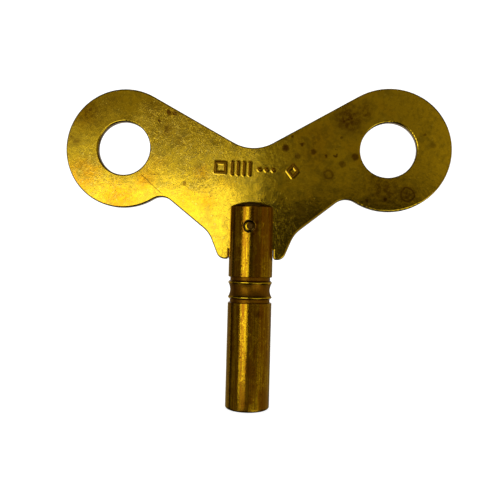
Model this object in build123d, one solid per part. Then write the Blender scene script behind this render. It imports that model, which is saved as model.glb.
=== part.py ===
from build123d import *

import os
from math import asin, atan2, cos, degrees, hypot, radians, sin, sqrt, tan

# Brass winding key with a flat two-eyed wing, a turned barrel and one riveted cross pin.
# Millimetres. +Z runs up the barrel's axis from the socket's mouth to the wing, the wing lies
# in the XZ plane with its stamped face towards -Y, and the origin is the centre of the mouth.

# Barrel
BARREL_RADIUS = 3.5
BARREL_WALL_TOP = 31.85
DOME_HEIGHT = 0.85
FOOT_ROUND = 0.4
HEAD_ROUND = 0.45

# Turned band on the barrel: a wide cove between two beads, and a square groove past each bead
BAND_CENTRE = 18.7
COVE_HALF_WIDTH = 1.12
COVE_DEPTH = 0.34
BEAD_LAND = 0.12
BEAD_ROUND = 0.1
BEAD_FLANK = 0.28
GROOVE_DEPTH = 0.32
GROOVE_FLOOR = 0.44
GROOVE_WALL = 0.05
GROOVE_LIP = 0.06

# Square socket: broached over a pilot hole, with a turned countersink at the mouth
SOCKET_ACROSS_FLATS = 4.05
SOCKET_DEPTH = 14.0
SOCKET_CORNER_ROUND = 0.06
PILOT_RADIUS = 2.08
PILOT_DEPTH = 16.5
DRILL_POINT_ANGLE = 118.0
MOUTH_RADIUS = 2.6
MOUTH_DEPTH = 0.5

# Wing plate
PLATE_THICKNESS = 1.0
EYE_OFFSET = 21.2
EYE_HEIGHT = 41.15
LOBE_RADIUS = 9.7
EYE_RADIUS = 4.35
VALLEY_LOW_POINT = 41.35
VALLEY_RADIUS = 6.5
KNEE_X = 6.8
KNEE_Z = 27.65
KNEE_RADIUS = 4.5
FLANK_ANGLE = 38.4
ARMPIT_RADIUS = 2.55
TIP_BOTTOM = 23.5
TIP_LEAN = 22.4
TIP_OUTER_RADIUS = 1.4
TIP_INNER_RADIUS = 0.5
FRONT_EDGE_ROLL = 0.25
BACK_EDGE_BREAK = 0.07

# Joint between wing and barrel
SLOT_FLOOR = 25.0
SLOT_CLEARANCE = 0.02
NOTCH_CLEARANCE = 0.03
PIN_RADIUS = 0.9
PIN_HEIGHT = 28.6
PIN_END_FLAT = 0.45
PIN_RIM_RADIUS = 0.55
PIN_END_PROUD = 0.02
PIN_HOLE_COUNTERSINK = 0.16

# Stamped size mark: a square for the socket, one stroke per millimetre, three dots, a diamond
MARK_CENTRE_X = 0.6
MARK_CENTRE_Z = 37.9
MARK_SLOPE = -2.2
MARK_HEIGHT = 1.9
MARK_DEPTH = 0.17
MARK_STROKE = 0.42
MARK_DRAFT = 38.0
MARK_LIP_HEIGHT = 0.03
MARK_LIP_WIDTH = 0.2
MARK_WIDTH = 1.6
MARK_SQUARE_X = -5.8
MARK_TALLY_X = -3.9
MARK_TALLY_PITCH = 0.95
MARK_TALLY_COUNT = 4
MARK_DOT = 0.6
MARK_DOTS_X = 0.5
MARK_DOTS_PITCH = 1.1
MARK_DOTS_COUNT = 3
MARK_DIAMOND_X = 5.8


def band_profile():
    """Half of the turned band as (offset from its centre, radius), from cove to plain barrel."""
    bead_start = COVE_HALF_WIDTH
    bead_end = bead_start + BEAD_LAND
    floor_start = bead_end + BEAD_FLANK
    floor_end = floor_start + GROOVE_FLOOR
    wall_end = floor_end + GROOVE_WALL
    floor_radius = BARREL_RADIUS - GROOVE_DEPTH
    return [
        (bead_start, BARREL_RADIUS),
        (bead_end, BARREL_RADIUS),
        (floor_start, floor_radius),
        (floor_end, floor_radius),
        (wall_end, BARREL_RADIUS - GROOVE_LIP),
        (wall_end + GROOVE_LIP, BARREL_RADIUS),
    ]


def turned_blank():
    """The barrel as it leaves the lathe: foot, lower length, band, upper length and domed top."""
    steps = band_profile()
    below = [(radius, BAND_CENTRE - offset) for offset, radius in reversed(steps)]
    above = [(radius, BAND_CENTRE + offset) for offset, radius in steps]
    foot_inner = BARREL_RADIUS - FOOT_ROUND
    cove_floor = (BARREL_RADIUS - COVE_DEPTH, BAND_CENTRE)
    wall_top = (BARREL_RADIUS, BARREL_WALL_TOP)
    apex = (0, BARREL_WALL_TOP + DOME_HEIGHT)
    dome_radius = (BARREL_RADIUS**2 + DOME_HEIGHT**2) / (2 * DOME_HEIGHT)
    edges = [
        Line((0, 0), (foot_inner, 0)),
        TangentArc((foot_inner, 0), (BARREL_RADIUS, FOOT_ROUND), tangent=(1, 0)),
        Polyline((BARREL_RADIUS, FOOT_ROUND), *below),
        ThreePointArc(below[-1], cove_floor, above[0]),
        Polyline(*above, wall_top),
        RadiusArc(wall_top, apex, -dome_radius),
        Line(apex, (0, 0)),
    ]
    face = make_face(Plane.XZ * Curve(edges))
    rounds = {place: BEAD_ROUND for place in below[-2:] + above[:2]}
    rounds[wall_top] = HEAD_ROUND
    for (radius, height), size in rounds.items():
        corner = face.vertices().sort_by_distance((radius, 0, height))[0]
        face = fillet(corner, size)
    return revolve(face, Axis.Z)


def socket_tool():
    """What is missing inside the mouth: broached square, pilot hole, drill point, countersink."""
    square = RectangleRounded(SOCKET_ACROSS_FLATS, SOCKET_ACROSS_FLATS, SOCKET_CORNER_ROUND)
    broached = extrude(square, SOCKET_DEPTH)
    pilot = extrude(Circle(PILOT_RADIUS), PILOT_DEPTH)
    point_depth = PILOT_RADIUS / tan(radians(DRILL_POINT_ANGLE / 2))
    align = (Align.CENTER, Align.CENTER, Align.MIN)
    point = Pos(Z=PILOT_DEPTH) * Cone(PILOT_RADIUS, 0, point_depth, align=align)
    mouth_slope_end = MOUTH_RADIUS - MOUTH_DEPTH
    mouth = Cone(MOUTH_RADIUS, mouth_slope_end, MOUTH_DEPTH, align=align)
    return broached + pilot + point + mouth


def cross_hole(countersunk):
    """The pin's hole along Y, with or without a small countersink at the barrel's skin."""
    length = 4 * BARREL_RADIUS
    hole = Cylinder(PIN_RADIUS, length, rotation=(90, 0, 0))
    if countersunk:
        wide = PIN_RADIUS + PIN_HOLE_COUNTERSINK
        for side in (-1, 1):
            sink = Cone(wide, PIN_RADIUS, PIN_HOLE_COUNTERSINK, rotation=(90 * -side, 0, 0))
            hole += Pos(Y=side * (BARREL_RADIUS - PIN_HOLE_COUNTERSINK / 2)) * sink
    return Pos(Z=PIN_HEIGHT) * hole


def make_barrel():
    """Turned barrel with the socket in its foot, and the wing's slot and pin hole in its head."""
    slot_width = PLATE_THICKNESS + 2 * SLOT_CLEARANCE
    slot_height = 2 * (BARREL_WALL_TOP - SLOT_FLOOR)
    align = (Align.CENTER, Align.CENTER, Align.MIN)
    slot = Pos(Z=SLOT_FLOOR) * Box(4 * BARREL_RADIUS, slot_width, slot_height, align=align)
    return turned_blank() - socket_tool() - slot - cross_hole(countersunk=True)


def valley_side():
    """Apex of the two top edges before rounding, and where the right one touches its lobe."""
    centre_rise = VALLEY_LOW_POINT + VALLEY_RADIUS - EYE_HEIGHT
    spacing = hypot(EYE_OFFSET, centre_rise)
    lean = atan2(-centre_rise, EYE_OFFSET) + asin((VALLEY_RADIUS + LOBE_RADIUS) / spacing)
    apex_z = VALLEY_LOW_POINT + VALLEY_RADIUS - VALLEY_RADIUS / cos(lean)
    touch = (EYE_OFFSET - LOBE_RADIUS * sin(lean), EYE_HEIGHT + LOBE_RADIUS * cos(lean))
    return (0, apex_z), touch


def flank_corner():
    """Where the right flank, running up from the knee, meets its lobe's circle."""
    slope = radians(FLANK_ANGLE)
    dx, dz = EYE_OFFSET - KNEE_X, EYE_HEIGHT - KNEE_Z
    along = dx * cos(slope) + dz * sin(slope)
    across = dz * cos(slope) - dx * sin(slope)
    reach = along - sqrt(LOBE_RADIUS**2 - across**2)
    return (KNEE_X + reach * cos(slope), KNEE_Z + reach * sin(slope))


def plate_outline():
    """Flat outline of the wing as a sketch whose Y is the key's Z."""
    apex, touch = valley_side()
    corner = flank_corner()
    tip_x = KNEE_X - (KNEE_Z - TIP_BOTTOM) * tan(radians(TIP_LEAN))
    notch_x = BARREL_RADIUS + NOTCH_CLEARANCE
    knee, tip = (KNEE_X, KNEE_Z), (tip_x, TIP_BOTTOM)
    notch, floor = (notch_x, TIP_BOTTOM), (notch_x, SLOT_FLOOR)
    right = [touch, (EYE_OFFSET, EYE_HEIGHT), corner, knee, tip, notch, floor]
    left = [(-x, z) for x, z in reversed(right)]
    outline = make_face(Polyline(apex, *right, *left, close=True))
    for side in (-1, 1):
        outline += Pos(side * EYE_OFFSET, EYE_HEIGHT) * Circle(LOBE_RADIUS)
    rounds = {
        apex: VALLEY_RADIUS,
        corner: ARMPIT_RADIUS,
        knee: KNEE_RADIUS,
        tip: TIP_OUTER_RADIUS,
        notch: TIP_INNER_RADIUS,
    }
    for (x, z), radius in rounds.items():
        for place in {(x, z), (-x, z)}:
            vertex = outline.vertices().sort_by_distance(place)[0]
            outline = fillet(vertex, radius)
    return outline


def stroke_outline(start, end, width):
    """Flat outline of one stroke between two points of the mark, with round ends."""
    (x0, z0), (x1, z1) = start, end
    length = hypot(x1 - x0, z1 - z0)
    shape = SlotCenterToCenter(length, width) if length else Circle(width / 2)
    turn = degrees(atan2(z1 - z0, x1 - x0))
    return Pos((x0 + x1) / 2, (z0 + z1) / 2) * Rot(Z=turn) * shape


def closed_figure(x, corners):
    """Strokes round a closed figure centred at x."""
    places = [(x + dx, dz) for dx, dz in corners]
    return [(a, b, MARK_STROKE) for a, b in zip(places, places[1:] + places[:1])]


def mark_strokes():
    """Start, end and width of every stroke in the stamped row."""
    half = MARK_HEIGHT / 2
    side = MARK_WIDTH / 2
    strokes = closed_figure(MARK_SQUARE_X, [(-side, -side), (side, -side), (side, side), (-side, side)])
    for number in range(MARK_TALLY_COUNT):
        x = MARK_TALLY_X + number * MARK_TALLY_PITCH
        strokes.append(((x, -half), (x, half), MARK_STROKE))
    for number in range(MARK_DOTS_COUNT):
        x = MARK_DOTS_X + number * MARK_DOTS_PITCH
        strokes.append(((x, 0), (x, 0), MARK_DOT))
    strokes += closed_figure(MARK_DIAMOND_X, [(0, -half), (side, 0), (0, half), (-side, 0)])
    return strokes


def stamped(plate):
    """The plate with the mark punched in, each stroke ringed by the low lip it throws up."""
    lip_slope = degrees(atan2(MARK_LIP_WIDTH, MARK_LIP_HEIGHT))
    row = Pos(MARK_CENTRE_X, MARK_CENTRE_Z) * Rot(Z=MARK_SLOPE)
    face = Plane((0, -PLATE_THICKNESS / 2, 0), x_dir=(1, 0, 0), z_dir=(0, -1, 0))
    above = face.offset(MARK_LIP_HEIGHT)
    for start, end, width in mark_strokes():
        base = stroke_outline(start, end, width + 2 * MARK_LIP_WIDTH)
        plate += extrude(face * row * base, MARK_LIP_HEIGHT, taper=lip_slope)
    for start, end, width in mark_strokes():
        groove = stroke_outline(start, end, width)
        plate -= extrude(above * row * groove, -MARK_DEPTH - MARK_LIP_HEIGHT, taper=MARK_DRAFT)
    return plate


def make_wing():
    """Blanked wing plate: rolled front edges, eyes, pin hole and stamped size mark."""
    sketch = plate_outline()
    for side in (-1, 1):
        sketch -= Pos(side * EYE_OFFSET, EYE_HEIGHT) * Circle(EYE_RADIUS)
    back = Plane((0, PLATE_THICKNESS / 2, 0), x_dir=(1, 0, 0), z_dir=(0, -1, 0))
    plate = extrude(back * sketch, PLATE_THICKNESS)
    plate = fillet(plate.faces().sort_by(Axis.Y)[0].edges(), FRONT_EDGE_ROLL)
    plate = fillet(plate.faces().sort_by(Axis.Y)[-1].edges(), BACK_EDGE_BREAK)
    plate -= cross_hole(countersunk=False)
    return stamped(plate)


def make_pin():
    """Cross pin, riveted flush at both ends, each end flat in the middle and rolled off at its rim."""
    end = BARREL_RADIUS + PIN_END_PROUD
    roll_width = PIN_RADIUS - PIN_END_FLAT
    shoulder = end - PIN_RIM_RADIUS + sqrt(PIN_RIM_RADIUS**2 - roll_width**2)
    profile = [
        Line((0, -end), (0, end)),
        Line((0, end), (PIN_END_FLAT, end)),
        RadiusArc((PIN_END_FLAT, end), (PIN_RADIUS, shoulder), PIN_RIM_RADIUS),
        Line((PIN_RADIUS, shoulder), (PIN_RADIUS, -shoulder)),
        RadiusArc((PIN_RADIUS, -shoulder), (PIN_END_FLAT, -end), PIN_RIM_RADIUS),
        Line((PIN_END_FLAT, -end), (0, -end)),
    ]
    pin = revolve(make_face(Curve(profile)), Axis.Y)
    return Pos(Z=PIN_HEIGHT) * pin


PARTS = {"wing_plate": make_wing, "barrel": make_barrel, "cross_pin": make_pin}

os.makedirs("parts", exist_ok=True)
for name, make in PARTS.items():
    export_step(make(), f"parts/{name}.step")
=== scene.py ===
"""Brass winding key: materials, soft studio light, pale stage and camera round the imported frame."""

import math

import bpy
from mathutils import Matrix, Vector


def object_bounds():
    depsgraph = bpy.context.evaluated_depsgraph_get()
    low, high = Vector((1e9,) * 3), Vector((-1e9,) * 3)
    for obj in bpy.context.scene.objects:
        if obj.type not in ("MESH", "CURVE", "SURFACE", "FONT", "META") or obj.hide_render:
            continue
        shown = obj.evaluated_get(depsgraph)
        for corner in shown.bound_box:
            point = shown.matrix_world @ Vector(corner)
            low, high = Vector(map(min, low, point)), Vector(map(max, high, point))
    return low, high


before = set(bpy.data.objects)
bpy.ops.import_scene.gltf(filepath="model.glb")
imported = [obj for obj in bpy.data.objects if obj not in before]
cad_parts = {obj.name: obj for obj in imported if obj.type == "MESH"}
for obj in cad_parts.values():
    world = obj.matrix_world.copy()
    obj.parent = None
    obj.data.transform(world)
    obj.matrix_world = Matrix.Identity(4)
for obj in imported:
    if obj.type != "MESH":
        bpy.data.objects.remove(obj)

MM = 0.001
CAD_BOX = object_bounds()

# Camera: where it stands from the socket's mouth, and how it is turned, in the row frame
CAMERA_PLACE = Vector((7.98, -90.39, 22.67)) * MM
CAMERA_AZIMUTH = 5.14
CAMERA_ELEVATION = -1.48
CAMERA_ROLL = 1.485
CAMERA_LENS = 40.93
CAMERA_SENSOR = 36.0

# Places on the key that the materials follow, in millimetres
MARK_X, MARK_Z = 0.6, 37.9
MARK_HALF_WIDTH = 7.4
MARK_HALF_HEIGHT = 1.6
PIN_HEIGHT = 28.6
BAND_HEIGHT = 18.7
BARREL_RADIUS = 3.5
STAMPED_FACE = -0.5

# Brass tones, linear
GOLD = (0.78, 0.51, 0.020, 1)
ORANGE_GOLD = (0.76, 0.43, 0.008, 1)
PALE_GOLD = (0.85, 0.62, 0.10, 1)
OLIVE_FILM = (0.46, 0.31, 0.020, 1)
DULL_GOLD = (0.56, 0.36, 0.018, 1)
TURNED_GOLD = (0.53, 0.325, 0.006, 1)
TURNED_LIGHT = (0.78, 0.50, 0.010, 1)
TURNED_BROWN = (0.27, 0.108, 0.004, 1)
TURNED_RUST = (0.30, 0.115, 0.004, 1)
PIN_BROWN = (0.09, 0.045, 0.002, 1)
BROWN = (0.32, 0.16, 0.008, 1)
RUST = (0.66, 0.25, 0.004, 1)
STAIN = (0.15, 0.048, 0.004, 1)
# Edge dirt, also used as painted shade on the wing's flank edges
EDGE_DIRT_AND_SHADE = (0.11, 0.050, 0.006, 1)
# Patina, also used as painted shade on the barrel's head, at its foot and round the pin
PATINA_AND_SHADE = (0.075, 0.038, 0.010, 1)

# Marks on the stamped side, each given as x, z, radius in millimetres, and strength.
# Small spots, broad blotches and thin rings of stain on the wing
SPOTS = (
    (5.1, 41.3, 0.55, 0.9),
    (6.2, 43.2, 0.25, 0.8),
    (7.1, 40.1, 0.50, 0.6),
    (7.8, 41.9, 0.45, 0.9),
    (9.6, 40.8, 0.50, 0.8),
    (11.5, 40.0, 0.35, 0.9),
    (12.1, 42.3, 0.15, 0.8),
    (13.0, 40.2, 0.35, 0.9),
    (13.2, 41.3, 0.25, 0.7),
    (13.8, 45.0, 0.50, 0.6),
    (13.9, 43.0, 0.25, 0.6),
    (14.1, 38.8, 0.35, 0.6),
    (16.1, 40.0, 0.55, 0.8),
    (18.1, 33.1, 0.35, 0.8),
    (20.8, 33.4, 0.40, 0.9),
    (26.7, 43.6, 0.25, 0.6),
    (28.0, 41.9, 0.50, 0.3),
    (-8.5, 34.9, 0.15, 0.7),
    (-11.0, 35.5, 0.35, 0.7),
    (-12.9, 46.8, 0.40, 0.8),
    (-13.8, 47.0, 0.45, 0.9),
    (-15.5, 45.6, 0.25, 0.9),
    (-15.9, 37.0, 0.20, 0.5),
    (-26.9, 47.4, 0.30, 0.8),
)
BLOTCHES = (
    (15.0, 46.0, 1.9, 1.0),
    (17.2, 47.4, 1.2, 0.7),
    (20.5, 35.0, 2.4, 0.7),
    (24.2, 34.2, 1.2, 0.8),
    (12.0, 37.2, 1.0, 0.4),
    (9.8, 41.8, 2.6, 0.3),
    (-27.0, 47.0, 2.2, 0.55),
    (-29.6, 42.6, 1.1, 0.6),
    (-23.5, 49.2, 1.6, 0.35),
    (-14.3, 44.2, 1.0, 0.6),
    (-11.8, 42.6, 0.9, 0.45),
    (-16.8, 47.8, 1.2, 0.45),
)
RINGS = (
    (12.0, 37.2, 0.65, 0.6),
    (24.2, 34.2, 1.05, 0.8),
    (14.1, 38.8, 0.35, 0.5),
)

# Warm, dull and rubbed areas of the wing
WARM_PATCHES = (
    (-7.3, 32.6, 1.3, 0.7),
    (-8.2, 37.2, 1.1, 0.6),
    (-15.5, 39.0, 1.6, 0.25),
    (-17.6, 36.2, 1.6, 0.7),
    (-22.0, 33.0, 2.4, 0.8),
    (-28.0, 36.5, 2.6, 0.8),
)
DULL_PATCHES = (
    (-17.5, 46.2, 2.6, 0.8),
    (-12.5, 44.2, 2.8, 0.7),
    (-9.5, 42.0, 2.6, 0.5),
    (-24.0, 47.5, 2.8, 0.6),
    (15.0, 45.0, 2.6, 0.7),
)
RUBBED_PATCHES = (
    (-14.0, 43.0, 5.0, 1.0),
    (-9.0, 40.0, 5.0, 1.0),
    (-4.0, 42.0, 4.0, 0.7),
    (-24.0, 36.0, 5.0, 0.7),
)

# Stains on the barrel, most of them beside the pin
BARREL_STAINS = (
    (1.15, 29.2, 0.35, 0.9),
    (1.0, 28.2, 0.45, 0.8),
    (0.6, 27.3, 0.2, 0.7),
    (1.7, 15.0, 0.5, 0.7),
    (0.9, 24.5, 0.3, 0.5),
)

# One long scratch on the wing, from one x, z to the other
LONG_SCRATCH = ((-18.4, 37.1), (-14.5, 33.6))


def node(tree, kind, inputs=None, **settings):
    """Adds a node, sets its properties, and links or sets its inputs by name or number."""
    made = tree.nodes.new(kind)
    for key, value in settings.items():
        setattr(made, key, value)
    for key, value in (inputs or {}).items():
        socket = made.inputs[key]
        if isinstance(value, bpy.types.NodeSocket):
            tree.links.new(value, socket)
        else:
            socket.default_value = value
    return made


def calc(tree, operation, first, second=0.0):
    """One math node's result."""
    return node(tree, "ShaderNodeMath", {0: first, 1: second}, operation=operation).outputs[0]


def times(tree, first, second):
    """The product of two values."""
    return calc(tree, "MULTIPLY", first, second)


def within(tree, value, middle, half):
    """1 where value is less than half away from middle, and 0 elsewhere."""
    off = calc(tree, "ABSOLUTE", calc(tree, "SUBTRACT", value, middle))
    return calc(tree, "LESS_THAN", off, half)


def spread(tree, value, low, high, to_low=0.0, to_high=1.0):
    """Value mapped from low..high to to_low..to_high, smoothly and without overshoot."""
    inputs = {"Value": value, 1: low, 2: high, 3: to_low, 4: to_high}
    return node(tree, "ShaderNodeMapRange", inputs, interpolation_type="SMOOTHSTEP").outputs[0]


def blend(tree, amount, under, over):
    """Two colours mixed by amount."""
    return node(tree, "ShaderNodeMix", {0: amount, 6: under, 7: over}, data_type="RGBA").outputs[2]


def shift(tree, place, scale=(1, 1, 1), move=(0, 0, 0), turn=(0, 0, 0)):
    """Place scaled, then turned by degrees, then moved."""
    angles = tuple(math.radians(a) for a in turn)
    inputs = {0: place, "Scale": scale, "Rotation": angles, "Location": move}
    return node(tree, "ShaderNodeMapping", inputs).outputs[0]


def millimetres(tree):
    """Position in the row frame, in millimetres."""
    place = node(tree, "ShaderNodeTexCoord").outputs["Object"]
    return shift(tree, place, (1 / MM, 1 / MM, 1 / MM))


def parts_of(tree, vector):
    """A vector's x, y and z."""
    return node(tree, "ShaderNodeSeparateXYZ", {0: vector}).outputs


def length_of(tree, vector):
    """How long a vector is."""
    return node(tree, "ShaderNodeVectorMath", {0: vector}, operation="LENGTH").outputs["Value"]


def distance_to(tree, place, point):
    """How far place is from a point."""
    inputs = {0: place, 1: point}
    return node(tree, "ShaderNodeVectorMath", inputs, operation="DISTANCE").outputs["Value"]


def facing_wing(tree):
    """How squarely the surface faces along Y, from 0 to 1."""
    normal = node(tree, "ShaderNodeTexCoord").outputs["Normal"]
    return calc(tree, "ABSOLUTE", parts_of(tree, normal)[1])


def noise(tree, place, scale, detail=4.0, rough=0.55, twist=0.0):
    """Cloudy noise between 0 and 1, scale per millimetre."""
    inputs = {"Vector": place, "Scale": scale, "Detail": detail, "Roughness": rough, "Distortion": twist}
    return node(tree, "ShaderNodeTexNoise", inputs).outputs["Fac"]


def wobbled(tree, place, scale, amount):
    """Place pushed about by noise, so that round shapes get uneven edges."""
    inputs = {"Vector": place, "Scale": scale, "Detail": 3.0}
    push = node(tree, "ShaderNodeTexNoise", inputs).outputs["Color"]
    inputs = {0: push, 1: (0.5, 0.5, 0.5)}
    centred = node(tree, "ShaderNodeVectorMath", inputs, operation="SUBTRACT").outputs[0]
    inputs = {0: centred, 1: (amount, amount, amount), 2: place}
    return node(tree, "ShaderNodeVectorMath", inputs, operation="MULTIPLY_ADD").outputs[0]


def largest(tree, values):
    """The largest of several values."""
    top = values[0]
    for value in values[1:]:
        top = calc(tree, "MAXIMUM", top, value)
    return top


def blots(tree, flat, marks, soft=0.6):
    """How deep each point lies in round marks (x, z, radius, strength) on the plane y 0 of flat."""
    depths = []
    for x, z, radius, strength in marks:
        away = distance_to(tree, flat, (x, 0, z))
        depths.append(spread(tree, away, radius * (1 - soft), radius * (1 + soft), strength, 0.0))
    return largest(tree, depths)


def rings(tree, flat, marks):
    """How near each point lies to thin rings (x, z, radius, strength) on the same plane."""
    depths = []
    for x, z, radius, strength in marks:
        away = distance_to(tree, flat, (x, 0, z))
        off = calc(tree, "ABSOLUTE", calc(tree, "SUBTRACT", away, radius))
        depths.append(spread(tree, off, 0.05, 0.3, strength, 0.0))
    return largest(tree, depths)


def segment(tree, flat, ends, width):
    """A thin straight line between two points (x, z) on the plane y 0 of flat."""
    (x0, z0), (x1, z1) = ends
    length = math.hypot(x1 - x0, z1 - z0)
    turn = math.degrees(math.atan2(z1 - z0, x1 - x0))
    centred = shift(tree, flat, move=(-(x0 + x1) / 2, 0, -(z0 + z1) / 2))
    along, depth, off = parts_of(tree, shift(tree, centred, turn=(0, turn, 0)))
    near = spread(tree, calc(tree, "ABSOLUTE", off), width * 0.4, width, 1.0, 0.0)
    on_face = within(tree, depth, 0.0, 0.5)
    between_ends = spread(tree, calc(tree, "ABSOLUTE", along), length * 0.4, length * 0.5, 1.0, 0.0)
    return times(tree, near, times(tree, between_ends, on_face))


def specks(tree, place, scale, size, share):
    """Small scattered spots of uneven size, on about that share of the cells."""
    inputs = {"Vector": place, "Scale": scale}
    cells = node(tree, "ShaderNodeTexVoronoi", inputs)
    chance = parts_of(tree, cells.outputs["Color"])
    radius = times(tree, chance[0], size * scale)
    outside = calc(tree, "SUBTRACT", cells.outputs["Distance"], radius)
    inside = spread(tree, outside, -0.06, 0.03, 1.0, 0.0)
    return times(tree, inside, calc(tree, "LESS_THAN", chance[1], share))


def hairlines(tree, place, turns, length, width, threshold):
    """Fine straight scratches in several directions in the XZ plane."""
    lines = []
    for number, turn in enumerate(turns):
        turned = shift(tree, place, move=(7 * number, 0, 0), turn=(0, turn, 0))
        drawn = shift(tree, turned, (1 / length, 0.2, 1 / width))
        lines.append(spread(tree, noise(tree, drawn, 1.0, 2.0, 0.5), threshold, threshold + 0.06))
    return largest(tree, lines)


def bumped(tree, layers):
    """A normal from (height, depth in millimetres) layers, each laid on the one before."""
    normal = None
    for height, depth in layers:
        inputs = {"Height": height, "Strength": 1.0, "Distance": depth * MM}
        if normal:
            inputs["Normal"] = normal
        normal = node(tree, "ShaderNodeBump", inputs).outputs[0]
    return normal


def new_material(name):
    """An empty node material and its tree."""
    material = bpy.data.materials.new(name)
    material.use_nodes = True
    material.node_tree.nodes.clear()
    return material, material.node_tree


def finish_metal(tree, colour, roughness, normal, anisotropic=0.0, tangent=None):
    """The metal shader and the tree's output; with a tangent, highlights stretch about it."""
    inputs = {"Base Color": colour, "Roughness": roughness, "Normal": normal}
    shader = node(tree, "ShaderNodeBsdfPrincipled", inputs)
    shader.inputs["Metallic"].default_value = 1.0
    shader.inputs["Anisotropic"].default_value = anisotropic
    shader.inputs["Anisotropic Rotation"].default_value = 0.25
    if tangent:
        tree.links.new(tangent, shader.inputs["Tangent"])
    node(tree, "ShaderNodeOutputMaterial", {"Surface": shader.outputs[0]})


def wing_tones(tree, place):
    """The sheet's unevenness, from broad clouds to fine grain."""
    return {
        "clouds": noise(tree, place, 0.13, 4.0, 0.5),
        "patches": noise(tree, place, 0.5, 5.0, 0.6, 0.4),
        "mottle": noise(tree, place, 1.5, 4.0, 0.65),
        "grain": noise(tree, place, 3.2, 4.0, 0.65),
        "fine": noise(tree, place, 7.0, 2.0, 0.6),
    }


def wing_metal(tree, soft_flat, tones, uneven, dull):
    """Gold sheet with warm, rusty and dull areas under an olive film."""
    cloudy = spread(tree, tones["clouds"], 0.52, 0.66, 0.0, 0.6)
    warm = calc(tree, "MAXIMUM", blots(tree, soft_flat, WARM_PATCHES), cloudy)
    rust = times(tree, blots(tree, soft_flat, WARM_PATCHES, 0.9), uneven)
    colour = blend(tree, warm, GOLD, ORANGE_GOLD)
    colour = blend(tree, rust, colour, RUST)
    colour = blend(tree, dull, colour, DULL_GOLD)
    for tone, high, most in (("patches", 0.68, 0.75), ("mottle", 0.66, 0.55), ("grain", 0.75, 0.3)):
        colour = blend(tree, spread(tree, tones[tone], 0.48, high, 0.0, most), colour, OLIVE_FILM)
    return colour


def wing_sparks(tree, place, patches):
    """Small bright spots, thicker in some areas than in others."""
    return times(tree, specks(tree, place, 1.9, 0.2, 0.3), spread(tree, patches, 0.42, 0.58))


def wing_scratches(tree, place, soft_flat):
    """Fine scratches in five directions, strong where the face is rubbed and faint elsewhere."""
    rubbed = blots(tree, soft_flat, RUBBED_PATCHES, 0.9)
    lines = hairlines(tree, place, (12, 38, 71, 118, 155), 2.2, 0.14, 0.61)
    return times(tree, lines, calc(tree, "MAXIMUM", rubbed, 0.1))


def wing_stains(tree, place, flat, soft_flat, uneven):
    """Spots, blotches and rings on the stamped face, and faint spots scattered over both faces."""
    scattered = times(tree, specks(tree, wobbled(tree, place, 1.5, 0.3), 0.55, 0.22, 0.35), 0.35)
    cloudy = times(tree, blots(tree, soft_flat, BLOTCHES, 0.9), uneven)
    return largest(tree, [blots(tree, flat, SPOTS, 0.4), cloudy, rings(tree, flat, RINGS), scattered])


def stamped_mark(tree, across, depth, up):
    """The mark's punched strokes, and the raised lips round them."""
    in_front = calc(tree, "LESS_THAN", depth, 0)
    in_width = within(tree, across, MARK_X, MARK_HALF_WIDTH)
    in_height = within(tree, up, MARK_Z, MARK_HALF_HEIGHT)
    row = times(tree, in_front, times(tree, in_width, in_height))
    punched = times(tree, row, spread(tree, depth, STAMPED_FACE + 0.01, STAMPED_FACE + 0.09))
    lips = times(tree, row, spread(tree, depth, STAMPED_FACE - 0.025, STAMPED_FACE - 0.003, 1.0, 0.0))
    return punched, lips


def flank_painted_shade(tree, facing, across, up):
    """Painted shade on the rolled edge of the wing's flanks, between the tips and the lobes."""
    flank = times(tree, spread(tree, up, 26.0, 27.0), spread(tree, up, 32.8, 33.6, 1.0, 0.0))
    flank = times(tree, flank, within(tree, across, 0.0, 14.5))
    return times(tree, spread(tree, facing, 0.9, 0.98, 0.85, 0.0), flank)


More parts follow.
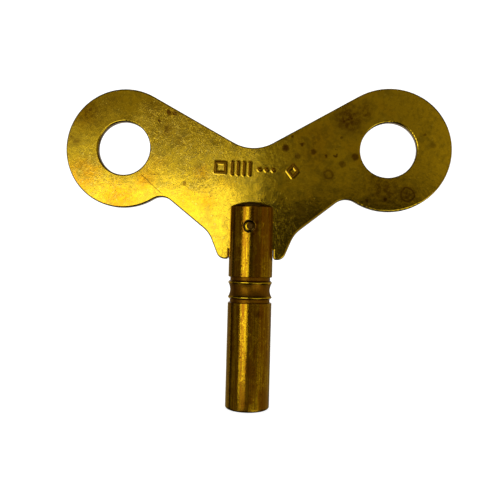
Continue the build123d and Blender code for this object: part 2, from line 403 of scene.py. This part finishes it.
def wing_material():
    """Blanked and stamped brass sheet: rolled front edge, sheared wall, stains, film and scratches."""
    material, tree = new_material("wing_brass")
    place = millimetres(tree)
    across, depth, up = parts_of(tree, place)
    facing = facing_wing(tree)
    wall = spread(tree, facing, 0.4, 0.75, 1.0, 0.0)
    tones = wing_tones(tree, place)

    # The stamped face is the plane y 0 of both; the fourfold depth keeps small marks off the back
    flat = shift(tree, wobbled(tree, place, 1.1, 0.55), (1, 4, 1), (0, -4 * STAMPED_FACE, 0))
    soft_flat = shift(tree, wobbled(tree, place, 0.35, 2.2), (1, 1, 1), (0, -STAMPED_FACE, 0))

    dull = blots(tree, soft_flat, DULL_PATCHES)
    uneven = spread(tree, tones["mottle"], 0.35, 0.6, 0.35, 1.0)
    sparks = wing_sparks(tree, place, tones["patches"])
    lines = wing_scratches(tree, place, soft_flat)
    stained = wing_stains(tree, place, flat, soft_flat, uneven)
    scratch = segment(tree, shift(tree, place, move=(0, -STAMPED_FACE, 0)), LONG_SCRATCH, 0.08)
    punched, lips = stamped_mark(tree, across, depth, up)
    sheared = noise(tree, shift(tree, place, (5.0, 0.4, 5.0)), 1.0, 3.0, 0.6)

    colour = wing_metal(tree, soft_flat, tones, uneven, dull)
    colour = blend(tree, times(tree, sparks, 0.5), colour, PALE_GOLD)
    colour = blend(tree, times(tree, lines, 0.8), colour, PALE_GOLD)
    colour = blend(tree, stained, colour, STAIN)
    colour = blend(tree, times(tree, scratch, 0.75), colour, EDGE_DIRT_AND_SHADE)
    colour = blend(tree, times(tree, punched, 0.9), colour, BROWN)
    colour = blend(tree, times(tree, lips, 0.6), colour, BROWN)
    # Painted shade along the flanks' rolled edges
    colour = blend(tree, flank_painted_shade(tree, facing, across, up), colour, EDGE_DIRT_AND_SHADE)
    colour = blend(tree, times(tree, wall, spread(tree, sheared, 0.3, 0.7, 0.6, 1.0)), colour, EDGE_DIRT_AND_SHADE)

    film = largest(tree, [times(tree, dull, 0.5), times(tree, stained, 0.15), punched, wall])
    roughness = spread(tree, film, 0.0, 1.0, 0.105, 0.36)
    roughness = calc(tree, "ADD", roughness, spread(tree, tones["fine"], 0.3, 0.7, -0.02, 0.03))
    depths = (("clouds", 0.06), ("patches", 0.007), ("mottle", 0.002), ("grain", 0.0026), ("fine", 0.0012))
    layers = [(tones[tone], size) for tone, size in depths] + [(sparks, 0.002), (lines, 0.008)]
    finish_metal(tree, colour, roughness, bumped(tree, layers))
    return material


def barrel_metal(tree, place, depth, tones):
    """Turned gold under brown and rusty streaks, with stains in front."""
    colour = blend(tree, spread(tree, tones["streaks"], 0.42, 0.62), TURNED_GOLD, TURNED_BROWN)
    colour = blend(tree, spread(tree, tones["blotches"], 0.5, 0.68, 0.0, 0.8), colour, TURNED_LIGHT)
    colour = blend(tree, spread(tree, tones["broad"], 0.5, 0.64, 0.0, 0.75), colour, TURNED_RUST)
    colour = blend(tree, spread(tree, tones["threads"], 0.46, 0.6, 0.0, 0.75), colour, TURNED_BROWN)
    colour = blend(tree, spread(tree, tones["grain"], 0.48, 0.62, 0.0, 0.9), colour, TURNED_BROWN)
    colour = blend(tree, specks(tree, wobbled(tree, place, 2.0, 0.2), 1.1, 0.2, 0.5), colour, STAIN)
    stains = blots(tree, shift(tree, wobbled(tree, place, 2.2, 0.7), (1, 0, 1)), BARREL_STAINS, 0.7)
    return blend(tree, times(tree, stains, calc(tree, "LESS_THAN", depth, 0)), colour, STAIN)


def barrel_tones(tree, place):
    """The barrel's unevenness: streaks along it, tool lines round it, blotches and grain."""
    return {
        "streaks": noise(tree, shift(tree, place, (1.5, 1.5, 0.08)), 1.0, 4.0, 0.6),
        "threads": noise(tree, shift(tree, place, (6.0, 6.0, 0.15)), 1.0, 3.0, 0.6),
        "blotches": noise(tree, place, 0.8, 5.0, 0.65),
        "grain": noise(tree, place, 4.0, 4.0, 0.7),
        "turning": noise(tree, shift(tree, place, (0.15, 0.15, 11.0)), 1.0, 3.0, 0.6),
        "broad": noise(tree, shift(tree, place, (0.45, 0.45, 0.22)), 1.0, 4.0, 0.6),
    }


def pin_ring_painted_shade(tree, place, across):
    """Painted shade: a dark ring in the pin's countersink, fading towards the right."""
    centred = shift(tree, wobbled(tree, place, 1.3, 0.3), (1, 0, 1), (0, 0, -PIN_HEIGHT))
    ring = spread(tree, length_of(tree, centred), 1.02, 1.08, 1.0, 0.0)
    return times(tree, ring, spread(tree, across, -0.2, 0.6, 1.0, 0.1))


def barrel_material():
    """Turned brass: dark patina in its cove and grooves, painted shade on its domed head, at its foot and
    round the pin, and gold on the crests of its band, partly wear and partly painted highlight.
    """
    material, tree = new_material("barrel_brass")
    place = millimetres(tree)
    across, depth, up = parts_of(tree, place)
    out = length_of(tree, shift(tree, place, (1, 1, 0)))
    tones = barrel_tones(tree, place)

    # Patina in the cove, grooves and socket; on the domed head, which also lies below the surface, this is
    # painted shade
    sunk_patina_and_dome_shade = spread(tree, out, BARREL_RADIUS - 0.20, BARREL_RADIUS - 0.05, 1.0, 0.0)
    from_band = calc(tree, "ABSOLUTE", calc(tree, "SUBTRACT", up, BAND_HEIGHT))
    on_surface = spread(tree, out, BARREL_RADIUS - 0.05, BARREL_RADIUS - 0.01)
    # Crests of the band rubbed gold, partly wear and partly a painted highlight
    worn_crest_highlight = times(tree, on_surface, spread(tree, from_band, 1.5, 1.7, 1.0, 0.0))
    # Painted shade: everything sunk below the surface above the band (the domed head, the slot, the pin's
    # countersink) darkened nearly to patina
    head = times(tree, times(tree, sunk_patina_and_dome_shade, spread(tree, up, 22.0, 23.0)), 0.92)
    # Painted shade: the barrel darkened towards its foot on the floor
    foot = spread(tree, up, 0.15, 0.5, 0.7, 0.0)
    # Painted shade from the head, the pin's ring and the foot, in patina colour
    dark = largest(tree, [head, pin_ring_painted_shade(tree, place, across), foot])

    colour = barrel_metal(tree, place, depth, tones)
    colour = blend(tree, times(tree, sunk_patina_and_dome_shade, 0.85), colour, TURNED_BROWN)
    colour = blend(tree, worn_crest_highlight, colour, GOLD)
    colour = blend(tree, dark, colour, PATINA_AND_SHADE)

    roughness = spread(tree, calc(tree, "MAXIMUM", sunk_patina_and_dome_shade, dark), 0.0, 1.0, 0.12, 0.42)
    roughness = calc(tree, "ADD", roughness, spread(tree, tones["grain"], 0.3, 0.7, -0.03, 0.09))
    depths = (
        ("blotches", 0.02),
        ("streaks", 0.006),
        ("threads", 0.0035),
        ("turning", 0.0010),
        ("grain", 0.013),
    )
    layers = [(tones[tone], size) for tone, size in depths]
    tangent = node(tree, "ShaderNodeTangent", direction_type="RADIAL", axis="Z").outputs[0]
    finish_metal(tree, colour, roughness, bumped(tree, layers), 0.5, tangent)
    return material


def pin_material():
    """Riveted pin end: dark with age; its rounded rim is lightened on the left only, partly rubbed wear
    and partly painted highlight.
    """
    material, tree = new_material("pin_brass")
    place = millimetres(tree)
    facing = facing_wing(tree)
    dents = noise(tree, place, 1.6, 3.0, 0.5)
    grain = noise(tree, place, 5.0, 4.0, 0.65)
    on_left = spread(tree, parts_of(tree, place)[0], -0.45, 0.05, 1.0, 0.05)
    # Painted highlight over rubbed wear: the rim lightened on the left only
    rubbed = times(tree, spread(tree, facing, 0.985, 0.998, 1.0, 0.0), on_left)
    aged = blend(tree, spread(tree, grain, 0.35, 0.65), PIN_BROWN, PATINA_AND_SHADE)
    colour = blend(tree, rubbed, aged, TURNED_LIGHT)
    colour = blend(tree, spread(tree, facing, 0.7, 0.9, 1.0, 0.0), colour, PATINA_AND_SHADE)
    roughness = spread(tree, grain, 0.25, 0.75, 0.12, 0.24)
    finish_metal(tree, colour, roughness, bumped(tree, [(dents, 0.010), (grain, 0.003)]))
    return material


def dress(name, material):
    """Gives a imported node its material."""
    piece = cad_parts[name]
    piece.data.materials.clear()
    piece.data.materials.append(material)


def direction(azimuth, elevation):
    """Unit vector from the key towards an azimuth (0 is -Y, 90 is +X) and elevation, in degrees."""
    a, e = math.radians(azimuth), math.radians(elevation)
    return Vector((math.sin(a) * math.cos(e), -math.cos(a) * math.cos(e), math.sin(e)))


def softbox(name, azimuth, elevation, wide, high, radiance, colour=(1, 1, 1), distance=0.45):
    """A rectangular light that faces the key and fills wide by high degrees as seen from it."""
    data = bpy.data.lights.new(name, "AREA")
    data.shape = "RECTANGLE"
    data.size = 2 * distance * math.tan(math.radians(wide / 2))
    data.size_y = 2 * distance * math.tan(math.radians(high / 2))
    data.energy = 4 * data.size * data.size_y * radiance
    data.color = colour
    light = bpy.data.objects.new(name, data)
    toward = direction(azimuth, elevation)
    aim = (CAD_BOX[0] + CAD_BOX[1]) / 2
    light.location = aim + toward * distance
    light.rotation_mode = "QUATERNION"
    light.rotation_quaternion = (-toward).to_track_quat("-Z", "Y")
    light.visible_camera = False
    bpy.context.scene.collection.objects.link(light)


def make_lights():
    """A window at the front left, dim panels all round, two lights from low down, and one overhead."""
    daylight, indoor = (1.0, 1.0, 1.0), (1.0, 0.86, 0.30)
    softbox("window_left", -24.5, -3, 35, 24, 1.6, daylight)
    softbox("window_top", -23, 11, 38, 6, 0.48, daylight)
    softbox("upper_left", -22, 26, 34, 24, 0.17, indoor)
    softbox("upper_right", 14, 22.5, 32, 29, 0.125, indoor)
    softbox("low_right_near", 8, -14, 24, 22, 0.10, indoor)
    softbox("side_right_near", 33, -2, 34, 50, 0.09, indoor)
    softbox("side_right_broad", 60, 0, 40, 60, 0.05, indoor)
    softbox("side_right", 64, 0, 14, 60, 0.20, indoor)
    softbox("side_right_far", 100, 0, 50, 60, 0.21, indoor)
    softbox("back_right", 138, 0, 30, 60, 0.24, indoor)
    softbox("side_left", -70, 0, 44, 60, 0.09, indoor)
    softbox("side_left_far", -112, 5, 8, 60, 0.25, indoor)
    softbox("back_left", -136, 0, 36, 60, 0.20, indoor)
    softbox("table_right", 46, -36, 44, 30, 0.85, daylight)
    softbox("table_left", -50, -34, 40, 24, 0.3, daylight)
    softbox("back", -175, 0, 40, 60, 0.62, daylight)
    softbox("overhead", 180, 78, 40, 30, 0.35, daylight)


def make_world():
    """Faint warm light from everywhere."""
    world = bpy.data.worlds.new("dim_room")
    world.use_nodes = True
    background = world.node_tree.nodes["Background"]
    background.inputs["Color"].default_value = (1.0, 0.8, 0.45, 1)
    background.inputs["Strength"].default_value = 0.02
    bpy.context.scene.world = world


def stage_profile():
    """The stage's half section as (radius, height): a floor, a quarter round and a wall, in metres."""
    floor, curve, wall = 0.9, 0.5, 1.2
    floor_steps, curve_steps = 6, 12
    profile = [(floor * step / floor_steps, 0.0) for step in range(floor_steps + 1)]
    for step in range(1, curve_steps + 1):
        angle = math.radians(90 * step / curve_steps)
        profile.append((floor + curve * math.sin(angle), curve * (1 - math.cos(angle))))
    profile.append((floor + curve, curve + wall))
    return profile


def turned_mesh(profile, low, ring=96):
    """A smooth mesh made by turning a profile that starts on the Z axis, raised by low."""
    vertices = [Vector((0, 0, low))]
    for radius, height in profile[1:]:
        for step in range(ring):
            angle = 2 * math.pi * step / ring
            vertices.append(Vector((radius * math.cos(angle), radius * math.sin(angle), low + height)))
    faces = [(0, 1 + step, 1 + (step + 1) % ring) for step in range(ring)]
    for row in range(len(profile) - 2):
        start, above = 1 + row * ring, 1 + (row + 1) * ring
        for step in range(ring):
            after = (step + 1) % ring
            faces.append((start + step, above + step, above + after, start + after))
    mesh = bpy.data.meshes.new("stage")
    mesh.from_pydata(vertices, [], faces)
    mesh.polygons.foreach_set("use_smooth", [True] * len(mesh.polygons))
    return mesh


def stage_material():
    """Matt paper that glows a little, so that it stays pale under dim lights."""
    material, tree = new_material("stage_paper")
    inputs = {"Base Color": (0.45, 0.45, 0.45, 1), "Roughness": 0.9}
    paper = node(tree, "ShaderNodeBsdfPrincipled", inputs)
    paper.inputs["Emission Color"].default_value = (1, 1, 1, 1)
    paper.inputs["Emission Strength"].default_value = 0.8
    paper.inputs["Specular IOR Level"].default_value = 0.0
    node(tree, "ShaderNodeOutputMaterial", {"Surface": paper.outputs[0]})
    return material


def make_stage():
    """A pale floor that curves up into a wall all round, and that the brass doesn't reflect."""
    mesh = turned_mesh(stage_profile(), CAD_BOX[0].z)
    mesh.materials.append(stage_material())
    stage = bpy.data.objects.new("stage", mesh)
    stage.visible_glossy = False
    stage.visible_shadow = False
    bpy.context.scene.collection.objects.link(stage)


def make_camera():
    """The camera, at its place and turned as the constants above say."""
    data = bpy.data.cameras.new("camera")
    data.lens = CAMERA_LENS
    data.sensor_width = CAMERA_SENSOR
    data.clip_start = MM
    camera = bpy.data.objects.new("camera", data)
    back = direction(CAMERA_AZIMUTH, CAMERA_ELEVATION)
    upright = (-back).to_track_quat("-Z", "Y").to_matrix()
    rolled = upright @ Matrix.Rotation(math.radians(CAMERA_ROLL), 3, "Z")
    camera.matrix_world = Matrix.Translation(CAMERA_PLACE) @ rolled.to_4x4()
    bpy.context.scene.collection.objects.link(camera)
    bpy.context.scene.camera = camera


dress("wing_plate", wing_material())
dress("barrel", barrel_material())
dress("cross_pin", pin_material())
make_lights()
make_world()
make_stage()
make_camera()
bpy.context.scene.view_settings.view_transform = "Standard"
